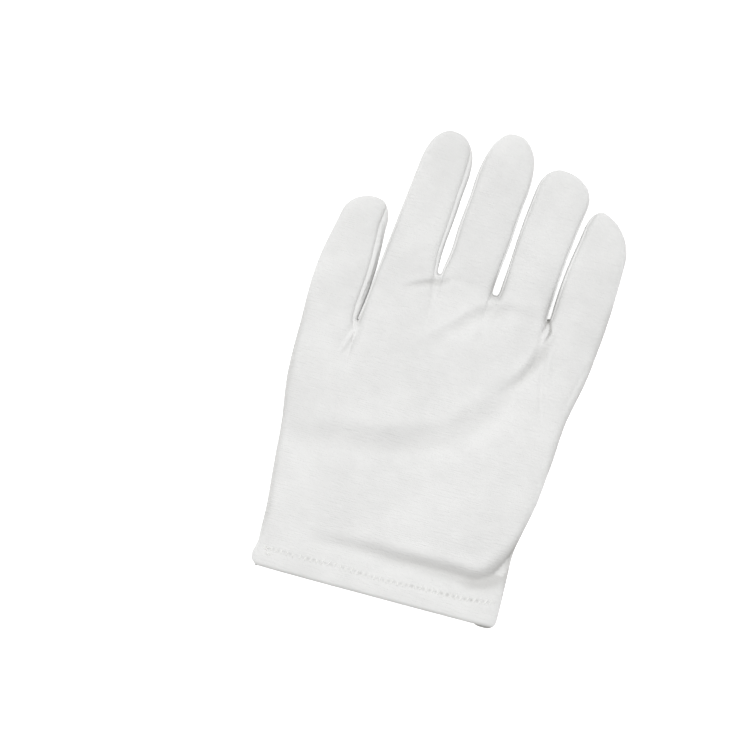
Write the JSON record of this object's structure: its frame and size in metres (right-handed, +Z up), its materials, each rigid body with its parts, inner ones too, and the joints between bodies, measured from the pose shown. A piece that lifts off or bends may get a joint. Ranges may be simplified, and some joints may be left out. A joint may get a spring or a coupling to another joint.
{
  "type": "cotton glove",
  "caption": "White knitted cotton dress glove lying palm down, with back and palm panels, gussets between the fingers and a turned and stitched hem at the open cuff.",
  "frame": {"origin": "on the resting surface, under the middle of the glove's bounding box", "axes": "+Y runs from the cuff to the fingertips, +X from the thumb to the little finger, +Z up out of the back of the hand"},
  "size_m": [0.142, 0.229, 0.0127],
  "materials": {
    "cotton": "matte"
  },
  "bodies": {
    "root": {"back_panel": "cotton", "palm_panel": "cotton", "gusset_thumb_index": "cotton", "gusset_index_middle": "cotton", "gusset_middle_ring": "cotton", "gusset_ring_little": "cotton", "cuff_hem": "cotton"}
  },
  "joints": []
}
